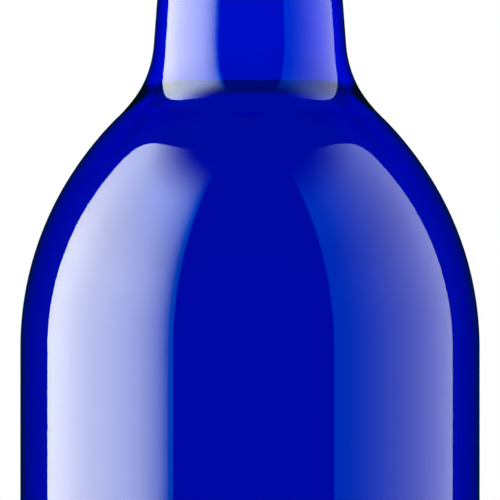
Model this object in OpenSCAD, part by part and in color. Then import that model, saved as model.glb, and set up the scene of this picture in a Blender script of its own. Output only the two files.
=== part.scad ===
// Swing top bottle: a hollow glass bottle with a wire-and-stopper closure.
// The bottle stands on the plane z = 0 with its axis on Z. The thumb lever hangs behind, towards +Y.
// The closure is drawn shut, with the lever down and the stopper over the mouth.

/* [Bottle] */
// Height of the glass, from the standing ring to the lip
bottle_h = 245; // [190:1:330]
// Diameter of the straight body
body_d = 72; // [64:0.5:84]
// Drop from the lip to the level where the shoulder begins
shoulder_drop = 117; // [108:1:135]
// Radius of the round shoulder, in side view
shoulder_r = 50.1; // [42:0.1:54]
// Radius of the hollow curve between the shoulder and the neck
neck_fillet_r = 17.2; // [14:0.1:22]
// Thickness of the glass in the body and shoulder
wall = 3.6; // [3:0.1:4]
// Thickness of the glass at the top of the shoulder, where the neck begins
foot_wall = 3.1; // [2.6:0.1:3.8]
// Height over which the glass thins from there into the neck
neck_thinning = 6; // [4:0.5:12]
// Radius of the heel, where the side meets the base
heel_r = 8; // [5:0.5:10]
// Width of the flat ring that the bottle stands on
standing_ring_w = 4; // [2:0.5:6]
// Height of the hollow pushed up into the base
punt_h = 5; // [3:0.5:8]
// Thickness of the glass in the base
base_t = 5.5; // [4:0.5:8]
// Radius inside, where the wall meets the base
inner_heel_r = 9; // [6:0.5:12]

/* [Neck] */
// Diameter of the neck's straight upper part
neck_d = 25.8; // [25:0.1:27]
// Angle at which the lower neck flares, each side
neck_flare = 4.3; // [3:0.1:5]
// Length of the straight upper neck, below the bead
neck_straight = 21; // [16:1:24]
// Thickness of the glass in the neck
neck_wall = 2.2; // [1.8:0.1:3.6]
// Radius that blends the straight neck into its flare
neck_blend_r = 120; // [60:5:160]

/* [Finish] */
// Diameter of the mouth's bore
mouth_d = 17; // [16.5:0.1:18]
// Outer diameter of the lip
lip_d = 26.4; // [25.8:0.1:26.6]
// Height of the lip band, above the collar's groove
lip_h = 12.5; // [11.5:0.1:15]
// Radius of the lip's outer edge
lip_r = 2.4; // [1:0.1:3]
// Radius of the mouth's inner edge
mouth_r = 2.2; // [1:0.1:2.6]
// Height of the collar's groove
groove_h = 3; // [2.4:0.1:4]
// Diameter at the groove's root
groove_d = 24.2; // [23.4:0.1:24.6]
// Diameter of the bead below the groove
bead_d = 28.6; // [27.6:0.1:29]
// Height of the bead
bead_h = 4; // [3:0.1:5]

/* [Wires] */
// Diameter of the neck collar's wire
collar_wire = 1.8; // [1.6:0.1:2]
// Diameter of the lever's wire
lever_wire = 2.2; // [2:0.1:2.4]
// Diameter of the yoke's wire
yoke_wire = 2; // [1.8:0.1:2.2]
// Distance from the lever's pivot to the eye that pulls the yoke
crank = 10; // [9:0.1:11]
// Angle that the eye has gone past dead centre when the closure is shut
past_centre = 4; // [3:0.5:8]
// Drop from the lever's pivot to its thumb bar
lever_drop = 43; // [38:0.5:48]
// Width of the lever's thumb bar, between its bends' corners
thumb_w = 17; // [14:0.5:20]
// Distance from the neck to the thumb bar
thumb_reach = 7; // [5:0.5:9]

/* [Stopper] */
// Widest diameter of the stopper's head
head_d = 24.8; // [22:0.2:25]
// Height of the wire's hole above the head's underside
hole_up = 8; // [7:0.1:9]
// Radius of the head's top corner
head_corner_r = 6.5; // [5:0.1:7]
// Diameter of the knob that enters the mouth
knob_d = 13.6; // [12.6:0.1:14]
// Depth of the knob below the washer
knob_h = 5.2; // [4:0.1:5.4]
// Diameter of the stem that carries the washer
stem_d = 11.2; // [9:0.1:12]
// Outer diameter of the washer
washer_d = 23.2; // [21:0.2:24]
// Thickness of the washer
washer_h = 3.6; // [3:0.1:4]

/* [Clearances] */
// Gap round a wire that turns in an eye or a hole
pivot_gap = 0.1; // [0.08:0.01:0.15]
// Gap between wires that pass side by side
side_gap = 0.3; // [0.2:0.05:0.4]
// Gap between the collar and its groove's root
collar_gap = 0.1; // [0.05:0.05:0.2]
// Gap between the washer and the lip
seal_gap = 0.3; // [0.25:0.05:0.4]
// Gap between the lever's legs and the neck
rest_gap = 0.3; // [0.2:0.05:0.5]

/* [Hidden] */
$fn = 96;
wire_fn = 32;

// Heights of the finish, from the lip down
groove_top_z = bottle_h - lip_h;
collar_z = groove_top_z - groove_h / 2;
groove_low_z = groove_top_z - groove_h;
neck_top_z = groove_low_z - bead_h;
flare_z = neck_top_z - neck_straight;
shoulder_z = bottle_h - shoulder_drop;

// The lever's pivot, and the planes across X in which each wire lies
collar_ring_r = groove_d / 2 + collar_gap + collar_wire / 2;
collar_eye_r = lever_wire / 2 + pivot_gap + collar_wire / 2;
pivot_z = collar_z + collar_eye_r;
eye_weld = 0.75 * collar_wire;
eye_x = collar_ring_r + eye_weld;
web_x = eye_x + (collar_wire + lever_wire) / 2 + side_gap;
coil_pitch = lever_wire + 0.15;
leg_x = web_x + coil_pitch;
yoke_x = leg_x + (lever_wire + yoke_wire) / 2 + side_gap;

// The eye in the lever that pulls the yoke down
coil_r = yoke_wire / 2 + pivot_gap + lever_wire / 2;
pull_y = -crank * sin(past_centre);
pull_z = pivot_z - crank * cos(past_centre);

// The stopper
washer_z = bottle_h + seal_gap;
head_z = washer_z + washer_h;
hole_z = head_z + hole_up;

// Points of an arc in a side view, from angle a0 to angle a1
function arc(cx, cz, r, a0, a1, n) =
    [for (i = [0 : n]) let (a = a0 + (a1 - a0) * i / n) [cx + r * cos(a), cz + r * sin(a)]];

function unit(v) = v / norm(v);

// ---- Bottle ----

// The flare's line, as a radius at height z
function flare_radius(z) = neck_d / 2 + (flare_z - z) * tan(neck_flare);

// Side of the bottle from the straight body up to the straight neck, as three arcs in a row:
// the shoulder's, the hollow one above it, and the neck's blend into its flare.
// The hollow arc touches the flare's line and the shoulder's arc, so its centre is its own radius
// away from the line, and both radii away from the shoulder's centre.
round_x = body_d / 2 - shoulder_r;
line_x = flare_radius(0) + neck_fillet_r / cos(neck_flare);
flare_k = tan(neck_flare);
qa = 1 + flare_k * flare_k;
qb = -2 * ((line_x - round_x) * flare_k + shoulder_z);
qc = pow(line_x - round_x, 2) + pow(shoulder_z, 2) - pow(shoulder_r + neck_fillet_r, 2);
hollow_z = (-qb + sqrt(qb * qb - 4 * qa * qc)) / (2 * qa);
hollow_x = line_x - hollow_z * flare_k;
meet_a = atan2(hollow_z - shoulder_z, hollow_x - round_x);
foot_z = shoulder_z + shoulder_r * sin(meet_a);

// Thickness of the glass behind the outside's point at height z
function glass_t(z) = let (
    low = min(1, max(0, (z - shoulder_z) / (foot_z - shoulder_z))),
    up = min(1, max(0, (z - foot_z) / neck_thinning))
) wall + (foot_wall - wall) * low * low + (neck_wall - foot_wall) * up * up * (3 - 2 * up);

// One arc of the side. The inside follows it, nearer its centre (way = -1) or farther out (way = 1)
function side_arc(cx, cz, r, a0, a1, n, way, inside) = [
    for (i = [0 : n])
        let (
            a = a0 + (a1 - a0) * i / n,
            at_r = r + (inside ? way * glass_t(cz + r * sin(a)) : 0)
        )
        [cx + at_r * cos(a), cz + at_r * sin(a)]
];

function side_outline(inside) = let (
    blend_x = neck_d / 2 + neck_blend_r,
    blend_z = flare_z + neck_blend_r * tan(neck_flare / 2)
) concat(
    side_arc(round_x, shoulder_z, shoulder_r, 0, meet_a, 28, -1, inside),
    side_arc(hollow_x, hollow_z, neck_fillet_r, 180 + meet_a, 180 + neck_flare, 20, 1, inside),
    side_arc(blend_x, blend_z, neck_blend_r, 180 + neck_flare, 180, 5, 1, inside)
);

// Outside of the finish, from the neck to the lip
function finish_outline() = let (
    bead_r = bead_h / 2,
    bead_x = bead_d / 2 - bead_r,
    edge_r = 0.8
) concat(
    arc(bead_x, neck_top_z + bead_r, bead_r, -55, 55, 8),
    [[groove_d / 2, groove_low_z], [groove_d / 2, groove_top_z]],
    arc(lip_d / 2 - edge_r, groove_top_z + edge_r, edge_r, -90, 0, 4),
    arc(lip_d / 2 - lip_r, bottle_h - lip_r, lip_r, 0, 90, 8)
);

// Underside: the hollow, the flat standing ring and the heel
standing_out_r = body_d / 2 - heel_r;
standing_in_r = standing_out_r - standing_ring_w;
punt_r = (standing_in_r * standing_in_r + punt_h * punt_h) / (2 * punt_h);
punt_a = asin(standing_in_r / punt_r);

function base_outline() = concat(
    arc(0, punt_h - punt_r, punt_r, 90, 90 - punt_a, 10),
    arc(standing_out_r, heel_r, heel_r, -90, 0, 10)
);

// Inside, from the mouth down to the middle of the floor
function inside_outline() = let (
    inner_r = body_d / 2 - wall,
    floor_edge_r = inner_r - inner_heel_r,
    floor_r = (floor_edge_r * floor_edge_r + punt_h * punt_h) / (2 * punt_h),
    floor_a = asin(floor_edge_r / floor_r),
    side = side_outline(true),
    last = len(side) - 1
) concat(
    arc(mouth_d / 2 + mouth_r, bottle_h - mouth_r, mouth_r, 90, 180, 8),
    [[mouth_d / 2, neck_top_z]],
    [for (i = [last : -1 : 0]) side[i]],
    arc(inner_r - inner_heel_r, base_t + inner_heel_r, inner_heel_r, 0, -90, 10),
    arc(0, base_t + punt_h - floor_r, floor_r, 90 - floor_a, 90, 10)
);

module bottle() {
    color("mediumblue")
    rotate_extrude()
        polygon(concat(
            base_outline(),
            side_outline(false),
            finish_outline(),
            inside_outline()
        ));
}

// ---- Bent wire ----

// Bends are drawn this much thicker than straight wire, and the straights run a little way into them
bend_extra = 0.03;
run_in = 0.1;

// Straight wire from p to q
module rod(p, q, d) {
    v = q - p;
    translate(p)
        rotate([0, acos(v[2] / norm(v)), atan2(v[1], v[0])])
            cylinder(d = d, h = norm(v), $fn = wire_fn);
}

// Arc of wire about centre c: it starts at c + r * from and sets off along heading
module wire_arc(c, r, from, heading, angle, d) {
    axis = cross(from, heading);
    multmatrix([
        [from[0], heading[0], axis[0], c[0]],
        [from[1], heading[1], axis[1], c[1]],
        [from[2], heading[2], axis[2], c[2]],
        [0, 0, 0, 1]
    ])
        rotate_extrude(angle = angle)
            translate([r, 0])
                circle(d = d + bend_extra, $fn = wire_fn);
}

// How far a bend of radius r reaches back from the corner b of the path a, b, c
function bend_reach(a, b, c, r) = r * tan(acos(unit(b - a) * unit(c - b)) / 2);

// Bend of radius r at the corner b of the path a, b, c
module bend(a, b, c, r, d) {
    u = unit(b - a);
    w = unit(c - b);
    inward = unit(w - (u * w) * u);
    start = b - u * bend_reach(a, b, c, r);
    wire_arc(start + inward * r, r, -inward, u, acos(u * w), d);
}

// Wire along a path of points, with one bend radius for each inner point.
// The ends listed in joined (0 for the first, 1 for the last) run on into the wire beyond them.
module bent_wire(points, radii, d, joined = []) {
    last = len(points) - 1;
    for (i = [0 : last - 1]) {
        way = unit(points[i + 1] - points[i]);
        from_bend = i > 0 ? bend_reach(points[i - 1], points[i], points[i + 1], radii[i - 1]) - run_in
            : joined[0] ? -run_in : 0;
        to_bend = i < last - 1 ? bend_reach(points[i], points[i + 1], points[i + 2], radii[i]) - run_in
            : joined[1] ? -run_in : 0;
        rod(points[i] + way * from_bend, points[i + 1] - way * to_bend, d);
    }
    for (i = [1 : last - 1])
        bend(points[i - 1], points[i], points[i + 1], radii[i - 1], d);
}

function mirrored(p) = [-p[0], p[1], p[2]];

// A path from its right end to the matching left end
function both_sides(points) =
    concat(points, [for (i = [len(points) - 1 : -1 : 0]) mirrored(points[i])]);

// ---- Neck collar ----

// The ends of the collar's wire are lapped and welded on the side away from the lever
lap_a = 34;

module neck_collar() {
    lap_r = collar_ring_r + eye_weld;
    color("silver") {
        wire_arc([0, 0, collar_z], collar_ring_r, [1, 0, 0], [0, 1, 0], 360, collar_wire);
        for (s = [-1, 1])
            wire_arc([s * eye_x, 0, pivot_z], collar_eye_r, [0, 1, 0], [0, 0, 1], 360, collar_wire);
        translate([0, 0, collar_z])
            rotate([0, 0, -90 - lap_a / 2])
                rotate_extrude(angle = lap_a)
                    translate([lap_r, 0])
                        circle(d = collar_wire, $fn = wire_fn);
    }
}

// ---- Lever ----

// The web runs from the pivot down to the near side of the coil, so it leans towards the legs
web_a = past_centre - asin(coil_r / crank);
web_way = [0, -sin(web_a), -cos(web_a)];
web_side = [0, cos(web_a), -sin(web_a)];
pin_bend_r = 1.9;
pin_end_x = lip_d / 2 + side_gap;

// Where the legs rest on the neck, and where the thumb bar stands out from it
rest_part = 0.77;
rest_z = pivot_z - rest_part * lever_drop;
thumb_z = pivot_z - lever_drop;
rest_r = flare_radius(min(rest_z, flare_z)) + lever_wire / 2 + rest_gap;
rest_x = thumb_w / 2 + 0.8;
rest_y = sqrt(rest_r * rest_r - rest_x * rest_x);
thumb_y = flare_radius(thumb_z) + thumb_reach;

// One full turn of wire round the yoke's end, in two half turns, each tilted by half the pitch.
// It starts at centre + r * side, heads off along way and moves outward by pitch.
module coil(centre, side, way, r, pitch, d) {
    quarter = [pitch / 4, 0, 0];
    tilted_r = norm(r * side - quarter);
    half_turn = 179.5;
    sleeve_l = 0.3;
    wire_arc(centre + quarter, tilted_r, unit(r * side - quarter), way, half_turn, d);
    mid = centre - r * side + 2 * quarter;
    rod(mid - way * sleeve_l / 2, mid + way * sleeve_l / 2, d + 2 * bend_extra);
    wire_arc(centre + 3 * quarter, tilted_r, unit(-r * side - quarter), -way, 180, d);
}

// One side of the lever: the pin in the collar's eye, the web and the coil
module lever_side() {
    pull = [web_x, pull_y, pull_z];
    coil_start = pull + coil_r * web_side;
    bent_wire(
        [[pin_end_x, 0, pivot_z], [web_x, 0, pivot_z], coil_start],
        [pin_bend_r],
        lever_wire,
        [false, true]
    );
    coil(pull, web_side, web_way, coil_r, coil_pitch, lever_wire);
}

module lever() {
    coil_end = [leg_x, pull_y, pull_z] + coil_r * web_side;
    color("silver") {
        lever_side();
        mirror([1, 0, 0]) lever_side();
        bent_wire(
            both_sides([
                coil_end,
                coil_end + 5.5 * web_way,
                [rest_x, rest_y, rest_z],
                [thumb_w / 2, thumb_y, thumb_z]
            ]),
            [6, 5, 3.2, 3.2, 5, 6],
            lever_wire,
            [true, true]
        );
    }
}

// ---- Yoke ----

yoke_bend_r = 4;
yoke_hook_r = 1.8;
yoke_end_x = web_x - lever_wire / 2 - 0.5;

module yoke() {
    color("silver")
        bent_wire(
            both_sides([
                [yoke_end_x, pull_y, pull_z],
                [yoke_x, pull_y, pull_z],
                [yoke_x, 0, hole_z]
            ]),
            [yoke_hook_r, yoke_bend_r, yoke_bend_r, yoke_hook_r],
            yoke_wire
        );
}

// ---- Stopper ----

function head_outline() = let (
    edge_r = 1.2,
    corner_a = 65,
    corner_x = head_d / 2 - 0.5 - head_corner_r,
    corner_z = head_z + hole_up - 1,
    dome_z = corner_z - corner_x * tan(corner_a),
    dome_r = head_corner_r + corner_x / cos(corner_a)
) concat(
    arc(head_d / 2 - edge_r, head_z + edge_r, edge_r, -90, 0, 5),
    arc(corner_x, corner_z, head_corner_r, 0, corner_a, 10),
    arc(0, dome_z, dome_r, corner_a, 90, 6)
);

function knob_outline() = let (edge_r = 1.8) concat(
    [[0, washer_z - knob_h]],
    arc(knob_d / 2 - edge_r, washer_z - knob_h + edge_r, edge_r, -90, 0, 6),
    [[knob_d / 2, washer_z], [stem_d / 2, washer_z], [stem_d / 2, head_z]]
);

module stopper() {
    hole_d = yoke_wire + 2 * pivot_gap;
    mouth_cone_h = 0.9;
    color("white")
    difference() {
        rotate_extrude()
            polygon(concat(knob_outline(), head_outline()));
        translate([0, 0, hole_z]) rotate([0, 90, 0]) {
            cylinder(d = hole_d, h = 2 * head_d, center = true);
            for (s = [0, 180])
                rotate([s, 0, 0])
                    translate([0, 0, head_d / 2 - 0.5 - mouth_cone_h])
                        cylinder(d1 = hole_d, d2 = hole_d + 4 * mouth_cone_h, h = 2 * mouth_cone_h);
        }
    }
}

module washer() {
    edge_r = 0.7;
    color("orangered")
    rotate_extrude()
        polygon(concat(
            [[stem_d / 2, head_z], [stem_d / 2, washer_z]],
            arc(washer_d / 2 - edge_r, washer_z + edge_r, edge_r, -90, 0, 4),
            arc(washer_d / 2 - edge_r, head_z - edge_r, edge_r, 0, 90, 4)
        ));
}

bottle();
neck_collar();
lever();
yoke();
stopper();
washer();
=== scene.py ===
import bpy
import bmesh
import math
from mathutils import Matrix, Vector, noise


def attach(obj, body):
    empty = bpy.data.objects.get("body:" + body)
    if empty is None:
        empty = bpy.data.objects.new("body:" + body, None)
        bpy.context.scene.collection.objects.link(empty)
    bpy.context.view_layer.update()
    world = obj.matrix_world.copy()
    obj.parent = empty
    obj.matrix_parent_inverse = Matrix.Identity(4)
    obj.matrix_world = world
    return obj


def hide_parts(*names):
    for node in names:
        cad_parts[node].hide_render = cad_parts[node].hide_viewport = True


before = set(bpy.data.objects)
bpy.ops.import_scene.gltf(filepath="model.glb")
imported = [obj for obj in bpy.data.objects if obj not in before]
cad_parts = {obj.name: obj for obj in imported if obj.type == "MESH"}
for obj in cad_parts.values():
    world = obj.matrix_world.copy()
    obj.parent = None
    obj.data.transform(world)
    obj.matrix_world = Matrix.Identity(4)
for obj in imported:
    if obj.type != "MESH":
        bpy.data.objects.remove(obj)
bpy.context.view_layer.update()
mm = 0.001
mapScale = 0.01    # the wires' maps hold millimetres along the wire times this


def makeObject(name, verts, faces):
    mesh = bpy.data.meshes.new(name)
    mesh.from_pydata(verts, [], faces)
    mesh.validate()
    mesh.update()
    obj = bpy.data.objects.new(name, mesh)
    bpy.context.scene.collection.objects.link(obj)
    mesh.polygons.foreach_set("use_smooth", [True] * len(mesh.polygons))
    return obj


def arc(cx, cz, r, a0, a1, n):
    # points of an arc in a side view, ends included
    return [(cx + r * math.cos(math.radians(a0 + (a1 - a0) * i / n)),
             cz + r * math.sin(math.radians(a0 + (a1 - a0) * i / n))) for i in range(n + 1)]


def sideOf(p, q, n):
    # n points on the straight line from p to q, p included and q left out
    return [(p[0] + (q[0] - p[0]) * i / n, p[1] + (q[1] - p[1]) * i / n) for i in range(n)]


def lathe(name, profile, angles, shape=None):
    # turns a side view in millimetres about Z; a point on the axis becomes one vertex
    verts, rings = [], []
    count = len(angles)
    for k, (r, z) in enumerate(profile):
        if r < 1e-6:
            rings.append([len(verts)] * count)
            verts.append((0.0, 0.0, z * mm))
            continue
        rings.append(list(range(len(verts), len(verts) + count)))
        for a in angles:
            rr, zz = shape(k, r, z, a) if shape else (r, z)
            verts.append((rr * math.cos(a) * mm, rr * math.sin(a) * mm, zz * mm))
    faces = []
    for lower, upper in zip(rings, rings[1:]):
        for i in range(count):
            j = (i + 1) % count
            face = [lower[i], lower[j], upper[j], upper[i]]
            face = [v for n, v in enumerate(face) if v not in face[:n]]
            if len(face) > 2:
                faces.append(face)
    return makeObject(name, verts, faces)


def evenAngles(count):
    return [2 * math.pi * i / count for i in range(count)]


def standFor(obj, node, body):
    # the piece takes the place of the plain solid, and moves with its body
    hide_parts(node)
    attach(obj, body)
    print(obj.name, "made:", len(obj.data.polygons), "faces")


# millimetres and degrees
bottle = {
    "bodyD": 72.0, "height": 245.0, "shoulderDrop": 117.0, "shoulderR": 50.1, "filletR": 17.2,
    # the glass thins up the shoulder and then the neck
    "wall": 3.6, "footWall": 3.1, "neckWall": 2.2, "neckThinning": 6.0,
    "neckD": 25.8, "flare": 4.3, "neckStraight": 21.0, "blendR": 120.0,
    "mouthD": 17.0, "mouthR": 2.2, "lipD": 26.4, "lipH": 12.5, "lipR": 2.4, "lipEdgeR": 0.8,
    "grooveH": 3.0, "grooveD": 24.2, "grooveEdgeR": 0.3, "beadD": 28.6, "beadH": 4.0, "beadEdgeA": 58.0,
    "heelR": 8.0, "standingRing": 4.0, "puntH": 5.0, "baseT": 5.5, "innerHeelR": 9.0,
    # a soft ring round the foot of the neck
    "footBulge": 0.15, "bulgeZ": 165.5, "bulgeUp": 2.3, "bulgeDown": 5.0,
    # a mould seam down each side, which starts at this part of the heel's height and fades in
    "seamH": 0.07, "seamW": 0.45, "seamEdge": 2.5, "seamFrom": 0.4, "seamFade": 4.0,
    "bars": 72, "barH": 0.22,                # bars across the standing ring
    "ripple": 0.05, "rippleScale": 0.045,    # unevenness of the inner wall
    "aroundSteps": 288,
}


def flareTop(b):
    # where the neck's straight part ends and its flare begins
    return b["height"] - b["lipH"] - b["grooveH"] - b["beadH"] - b["neckStraight"]


def thickness(b, z, shoulderZ, footZ):
    # glass thickness behind the outside's point at height z
    low = max(0.0, min(1.0, (z - shoulderZ) / (footZ - shoulderZ)))
    up = max(0.0, min(1.0, (z - footZ) / b["neckThinning"]))
    return b["wall"] + (b["footWall"] - b["wall"]) * low * low \
        + (b["neckWall"] - b["footWall"]) * up * up * (3 - 2 * up)


def sideOutline(b, inside=False, steps=(90, 60, 14), straightSteps=12):
    # the shoulder's arc, the hollow one above it, the flare and its blend into the neck.
    # The inside follows the outside, set in by the glass's thickness
    slope = math.radians(b["flare"])
    k = math.tan(slope)
    flareZ = flareTop(b)
    shoulderZ = b["height"] - b["shoulderDrop"]
    neckR, roundR, hollowR, blendR = b["neckD"] / 2, b["shoulderR"], b["filletR"], b["blendR"]
    roundX = b["bodyD"] / 2 - roundR
    # the hollow arc touches the flare's line and the shoulder's arc: its centre solves a quadratic
    lineX = neckR + flareZ * k + hollowR / math.cos(slope)
    qa = 1 + k * k
    qb = -2 * ((lineX - roundX) * k + shoulderZ)
    qc = (lineX - roundX) ** 2 + shoulderZ ** 2 - (roundR + hollowR) ** 2
    hollowZ = (-qb + math.sqrt(qb * qb - 4 * qa * qc)) / (2 * qa)
    hollowX = lineX - hollowZ * k
    meet = math.degrees(math.atan2(hollowZ - shoulderZ, hollowX - roundX))
    blendX, blendZ = neckR + blendR, flareZ + blendR * math.tan(slope / 2)
    footZ = shoulderZ + roundR * math.sin(math.radians(meet))
    flareA = 180 + b["flare"]

    def glassArc(cx, cz, r, a0, a1, n, way):
        found = []
        for i in range(n + 1):
            a = math.radians(a0 + (a1 - a0) * i / n)
            z = cz + r * math.sin(a)
            out = r + way * thickness(b, z, shoulderZ, footZ) if inside else r
            found.append((cx + out * math.cos(a), cz + out * math.sin(a)))
        return found

    shoulder = glassArc(roundX, shoulderZ, roundR, 0, meet, steps[0], -1)
    hollow = glassArc(hollowX, hollowZ, hollowR, 180 + meet, flareA, steps[1], 1)
    blend = glassArc(blendX, blendZ, blendR, flareA, 180, steps[2], 1)
    straight = []
    start = arc(hollowX, hollowZ, hollowR, flareA, flareA, 1)[0]
    end = arc(blendX, blendZ, blendR, flareA, flareA, 1)[0]
    for x, z in sideOf(start, end, straightSteps)[1:]:
        inset = thickness(b, z, shoulderZ, footZ) if inside else 0.0
        straight.append((x - inset * math.cos(slope), z - inset * math.sin(slope)))
    points = shoulder + hollow + straight + blend
    return [p for i, p in enumerate(points) if i == 0 or math.dist(p, points[i - 1]) > 1e-4]


def bottleOutside(b):
    # from the punt's middle to the lip's top, and which of the points are the standing ring
    grooveTop = b["height"] - b["lipH"]
    grooveLow = grooveTop - b["grooveH"]
    neckTop = grooveLow - b["beadH"]
    bodyR, neckR, lipR, heelR = b["bodyD"] / 2, b["neckD"] / 2, b["lipD"] / 2, b["heelR"]
    ringOut = bodyR - heelR
    ringIn = ringOut - b["standingRing"]
    puntR = (ringIn ** 2 + b["puntH"] ** 2) / (2 * b["puntH"])
    puntA = math.degrees(math.asin(ringIn / puntR))
    base = arc(0, b["puntH"] - puntR, puntR, 90, 90 - puntA, 30)
    base[0] = (0.0, b["puntH"])
    ring = sideOf((ringIn, 0), (ringOut, 0), 12)[1:]
    heel = arc(ringOut, heelR, heelR, -90, 0, 24)
    body = sideOf((bodyR, heelR), (bodyR, b["height"] - b["shoulderDrop"]), 60)[1:]
    shoulder = sideOutline(b)
    # the neck's straight side runs a little way into the bead
    neck = sideOf(shoulder[-1], (neckR, neckTop + 0.1), 10)[1:]
    beadR = b["beadH"] / 2
    bead = arc(b["beadD"] / 2 - beadR, neckTop + beadR, beadR, -b["beadEdgeA"], b["beadEdgeA"], 20)
    # the groove's two corners stand a hair inside its height
    corner, hair = b["grooveEdgeR"], 0.02
    grooveX = b["grooveD"] / 2 + corner
    groove = [(grooveX + corner / 6, grooveLow + hair)] + \
        arc(grooveX, grooveLow + corner + hair, corner, -90, -180, 5) + \
        arc(grooveX, grooveTop - corner - hair, corner, -180, -270, 5)
    under, lipZ = b["lipEdgeR"], b["height"] - b["lipR"]
    lip = arc(lipR - under, grooveTop + under, under, -90, 0, 8) + \
        sideOf((lipR, grooveTop + under), (lipR, lipZ), 6)[1:] + \
        arc(lipR - b["lipR"], lipZ, b["lipR"], 0, 90, 16)
    ringSpan = (len(base) - 1, len(base) + len(ring))
    return base + ring + heel + body + shoulder + neck + bead + groove + lip, ringSpan


def bottleInside(b):
    # from the mouth's edge down to the middle of the floor
    mouthX, mouthR, heelR = b["mouthD"] / 2, b["mouthR"], b["innerHeelR"]
    mouth = arc(mouthX + mouthR, b["height"] - mouthR, mouthR, 90, 180, 14)
    shoulder = sideOutline(b, inside=True)[::-1]
    neckTop = flareTop(b) + b["neckStraight"]
    bore = sideOf(mouth[-1], (mouthX, neckTop), 8)[1:] + sideOf((mouthX, neckTop), shoulder[0], 10)
    innerR, floorZ = b["bodyD"] / 2 - b["wall"], b["baseT"]
    wall = sideOf(shoulder[-1], (innerR, floorZ + heelR), 60)[1:]
    heel = arc(innerR - heelR, floorZ + heelR, heelR, 0, -90, 24)
    floorEdge = innerR - heelR
    floorR = (floorEdge ** 2 + b["puntH"] ** 2) / (2 * b["puntH"])
    floorA = math.degrees(math.asin(floorEdge / floorR))
    floor = arc(0, floorZ + b["puntH"] - floorR, floorR, 90 - floorA, 90, 30)
    floor[-1] = (0.0, floorZ + b["puntH"])
    return mouth[1:] + bore + shoulder[1:] + wall + heel + floor[1:]


def seamedAngles(count, seamA, reach=6, perSeam=3):
    # even steps all round, with finer ones across the mould seam at each side
    angles = set(evenAngles(count))
    for side in (0.0, math.pi, 2 * math.pi):
        for i in range(-reach, reach + 1):
            angles.add((side + seamA * i / perSeam) % (2 * math.pi))
    angles = sorted(angles)
    return [a for i, a in enumerate(angles) if i == 0 or a - angles[i - 1] > 1e-5]


def makeBottle(b):
    outside, ringSpan = bottleOutside(b)
    neckTop = flareTop(b) + b["neckStraight"]
    bodyR, seamZ = b["bodyD"] / 2, b["heelR"] * b["seamFrom"]

    def outerShape(k, r, z, a):
        reach = b["bulgeUp"] if z > b["bulgeZ"] else b["bulgeDown"]
        r += b["footBulge"] * math.exp(-((z - b["bulgeZ"]) / reach) ** 2)
        if ringSpan[0] <= k <= ringSpan[1]:
            # bars across the standing ring, faded at its edges
            across = math.sin(math.pi * (k - ringSpan[0]) / (ringSpan[1] - ringSpan[0])) ** 0.5
            return r, z + b["barH"] * across * (0.5 + 0.5 * math.cos(a * b["bars"]))
        if seamZ < z < neckTop:
            # two seams, and the wall drawn in by their height so that they end at the full width
            near = min(abs(a), abs(a - math.pi), abs(a - 2 * math.pi)) * bodyR / b["seamW"]
            faded = min(1.0, (z - seamZ) / b["seamFade"])
            rise = math.exp(-near * near * b["seamEdge"]) * faded
            return r - b["seamH"] * (1 - rise) * faded, z
        return r, z

    def innerShape(r, z, a):
        # the inner wall's unevenness fades out towards the axis
        if r < 2:
            return r, z
        p = Vector((math.cos(a) * r, math.sin(a) * r, z)) * b["rippleScale"]
        soft = noise.noise(p) + 0.4 * noise.noise(p * 2.3)
        return r + b["ripple"] * soft * min(1.0, r / 12), z

    def shape(k, r, z, a):
        return outerShape(k, r, z, a) if k < len(outside) else innerShape(r, z, a)

    angles = seamedAngles(b["aroundSteps"], b["seamW"] / bodyR)
    return lathe("glassBottle", outside + bottleInside(b), angles, shape)


standFor(makeBottle(bottle), "bottle", "bottle")


def addStraight(path, end, step=1.5):
    # goes on from the path's last point to end in even steps
    start = path[-1]
    count = max(1, round((end - start).length / step))
    for i in range(1, count + 1):
        path.append(start.lerp(end, i / count))


def bentPath(points, radii, stepAngle=5.0):
    # centreline through the points, with an arc of its own radius at each inner corner
    points = [Vector(p) for p in points]
    path = [points[0].copy()]
    for a, b, c, r in zip(points, points[1:], points[2:], radii):
        u, w = (b - a).normalized(), (c - b).normalized()
        turn = u.angle(w)
        start = b - u * (r * math.tan(turn / 2))
        inward = (w - u * u.dot(w)).normalized()
        addStraight(path, start)
        count = max(3, round(math.degrees(turn) / stepAngle))
        for i in range(1, count + 1):
            bent = turn * i / count
            path.append(start + inward * (r - r * math.cos(bent)) + u * (r * math.sin(bent)))
    addStraight(path, points[-1])
    return path


def ringPath(centre, r, start, heading, angle=360.0, stepAngle=5.0):
    # arc about a centre, from the direction start towards the direction heading
    count = round(angle / stepAngle)
    turn = math.radians(angle)
    ends = 0 if angle == 360.0 else 1
    return [Vector(centre) + Vector(start) * (r * math.cos(turn * i / count))
            + Vector(heading) * (r * math.sin(turn * i / count)) for i in range(count + ends)]


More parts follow.
